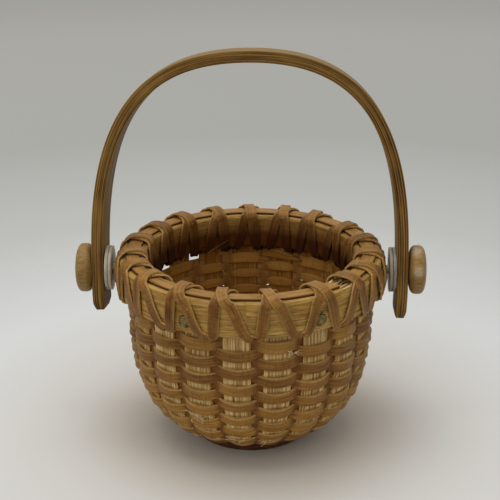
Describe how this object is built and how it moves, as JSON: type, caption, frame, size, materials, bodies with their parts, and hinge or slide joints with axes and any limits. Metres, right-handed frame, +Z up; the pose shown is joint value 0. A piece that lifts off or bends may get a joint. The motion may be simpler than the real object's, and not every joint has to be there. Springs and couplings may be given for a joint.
{
  "type": "miniature basket",
  "caption": "Small round woven basket with a turned wooden base, a cane-lashed rim and a bent wooden bail handle that swings on side pins.",
  "frame": {"origin": "centre of the basket's footprint, on the surface it stands on", "axes": "+Z up, X along the two pivot pins, -Y towards the side seen in the picture"},
  "size_m": [0.0896, 0.07, 0.1003],
  "materials": {
    "base_wood": "dark turned wood, satin",
    "stave_wood": "pale split reed, matte with upright grain",
    "cane": "tan binding cane, satin",
    "rim_wood": "honey coloured bent wood, satin",
    "cap_reed": "reddish reed, satin",
    "handle_wood": "brown bent wood with long grain, satin",
    "knob_wood": "tan turned wood, semi-gloss",
    "peg_wood": "pale peg, matte",
    "nylon": "translucent greyish nylon",
    "nail_brass": "dull aged brass"
  },
  "bodies": {
    "basket": {"base": "base_wood", "stave_01": "stave_wood", "stave_02": "stave_wood", "stave_03": "stave_wood", "stave_04": "stave_wood", "stave_05": "stave_wood", "stave_06": "stave_wood", "stave_07": "stave_wood", "stave_08": "stave_wood", "stave_09": "stave_wood", "stave_10": "stave_wood", "stave_11": "stave_wood", "stave_12": "stave_wood", "stave_13": "stave_wood", "stave_14": "stave_wood", "stave_15": "stave_wood", "stave_16": "stave_wood", "stave_17": "stave_wood", "stave_18": "stave_wood", "stave_19": "stave_wood", "weaver_upper": "cane", "weaver_middle": "cane", "weaver_lower": "cane", "outer_rim": "rim_wood", "inner_rim": "rim_wood", "rim_cap": "cap_reed", "lashing_first": "cane", "lashing_second": "cane", "rim_nail_1": "nail_brass", "rim_nail_2": "nail_brass", "rim_nail_3": "nail_brass", "rim_nail_4": "nail_brass", "pivot_pin_left": "peg_wood", "pivot_pin_right": "peg_wood", "washer_inner_left": "nylon", "washer_inner_right": "nylon", "washer_outer_left": "nylon", "washer_outer_right": "nylon", "knob_left": "knob_wood", "knob_right": "knob_wood"},
    "bail": {"handle": "handle_wood"}
  },
  "joints": [
    {"name": "handle_swing", "type": "hinge", "parent": "basket", "child": "bail", "pos_m": [0, 0, 0.04455], "axis": [1, 0, 0], "range_deg": [-126, 143]}
  ]
}
